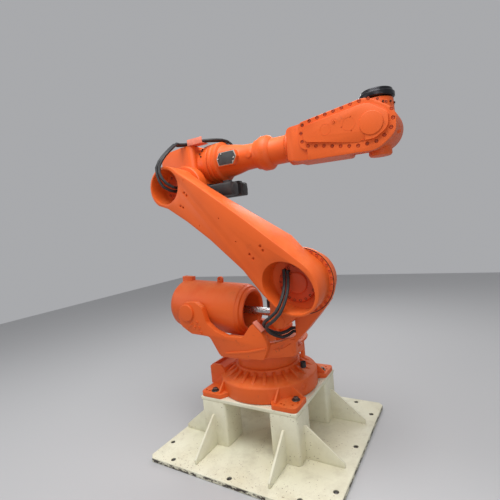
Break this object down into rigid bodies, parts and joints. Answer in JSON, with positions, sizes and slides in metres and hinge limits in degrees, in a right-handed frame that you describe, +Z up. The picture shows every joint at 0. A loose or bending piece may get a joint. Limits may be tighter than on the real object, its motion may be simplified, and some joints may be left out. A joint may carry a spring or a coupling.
{
  "type": "industrial robot arm",
  "caption": "Jointed industrial robot arm on a welded four-post pedestal, with spring balancer, long lower arm, extended forearm, tilting wrist and round tool flange",
  "frame": {"origin": "on the underside of the pedestal plate, on the machine's vertical turning axis", "axes": "+Z up along the turning axis; +X the way the forearm points; +Y away from the side that carries the lower arm"},
  "size_m": [1.6994, 1.226, 2.1936],
  "materials": {
    "cream_paint": "satin, chipped and rust-specked",
    "orange_paint": "satin, dusty",
    "black_paint": "satin",
    "dark_steel": "oily dark steel",
    "chrome_rod": "polished",
    "grey_cover": "matte",
    "salmon_plate": "faded",
    "black_rubber": "matte"
  },
  "bodies": {
    "base": {"pedestal_plate": "cream_paint", "post_near_left": "cream_paint", "post_near_right": "cream_paint", "post_far_left": "cream_paint", "post_far_right": "cream_paint", "pedestal_top_frame": "cream_paint", "foot_casting": "orange_paint", "foot_connector_panel": "black_paint", "axis1_gearbox": "dark_steel", "axis1_seal_ring": "orange_paint"},
    "turntable": {"turntable_casting": "orange_paint", "trunnion_cover_near": "orange_paint", "trunnion_cover_far": "orange_paint", "axis2_motor": "black_paint", "axis1_motor_bracket": "orange_paint", "axis1_motor": "black_paint", "harness_clamp": "salmon_plate", "lower_harness_a": "black_rubber", "lower_harness_b": "black_rubber"},
    "balancer": {"balancer_cylinder": "orange_paint", "balancer_lug": "orange_paint", "balancer_end_cap": "orange_paint"},
    "balancer_rod_unit": {"balancer_rod": "chrome_rod", "balancer_rod_eye": "dark_steel"},
    "lower_arm": {"lower_arm_casting": "orange_paint", "balancer_pin": "dark_steel", "axis2_gear_flange": "orange_paint", "axis3_gear_flange": "orange_paint", "arm_harness_a": "black_rubber", "arm_harness_b": "black_rubber"},
    "elbow": {"elbow_housing": "orange_paint", "axis3_motor": "black_paint", "axis4_motor": "black_paint", "elbow_rear_cover": "black_paint", "harness_bracket": "salmon_plate", "upper_harness_a": "black_rubber", "upper_harness_b": "black_rubber"},
    "forearm": {"forearm_tube": "orange_paint", "hatch_cover": "grey_cover", "forearm_collar": "orange_paint", "forearm_extender": "orange_paint", "wrist_housing": "orange_paint", "wrist_cover_near": "orange_paint", "wrist_cover_far": "orange_paint", "wrist_disc": "grey_cover"},
    "wrist": {"wrist_tilt_housing": "orange_paint"},
    "flange": {"tool_flange": "dark_steel"}
  },
  "joints": [
    {"name": "axis_1", "type": "hinge", "parent": "base", "child": "turntable", "pos_m": [0, 0, 0.632], "axis": [0, 0, 1], "range_deg": [-180, 180]},
    {"name": "axis_2", "type": "hinge", "parent": "turntable", "child": "lower_arm", "pos_m": [0.41, -0.3, 1.14], "axis": [0, 1, 0], "range_deg": [-8.8, 136.2]},
    {"name": "balancer_swing", "type": "hinge", "parent": "turntable", "child": "balancer", "pos_m": [-0.408, -0.115, 0.946], "axis": [0, -1, 0], "range_deg": [-2.77, 41.37]},
    {"name": "rod_pin", "type": "hinge", "parent": "lower_arm", "child": "balancer_rod_unit", "pos_m": [0.26368, -0.115, 0.90247], "axis": [0, -1, 0], "range_deg": [-11.57, 177.57]},
    {"name": "axis_3", "type": "hinge", "parent": "lower_arm", "child": "elbow", "pos_m": [-0.42779, -0.2, 1.8136], "axis": [0, -1, 0], "range_deg": [-8.8, 231.2]},
    {"name": "axis_4", "type": "hinge", "parent": "elbow", "child": "forearm", "pos_m": [-0.26179, 0, 1.9786], "axis": [1, 0, 0], "range_deg": [-300, 300]},
    {"name": "axis_5", "type": "hinge", "parent": "forearm", "child": "wrist", "pos_m": [0.87821, 0, 1.9786], "axis": [0, 1, 0], "range_deg": [-10, 190]},
    {"name": "axis_6", "type": "hinge", "parent": "wrist", "child": "flange", "pos_m": [0.87821, 0, 2.1436], "axis": [0, 0, 1], "range_deg": [-300, 300]}
  ],
  "couplings": [
    {"joint": "balancer_swing", "follows": "axis_2", "ratio": 0.303},
    {"joint": "rod_pin", "follows": "axis_2", "ratio": 1.303}
  ]
}
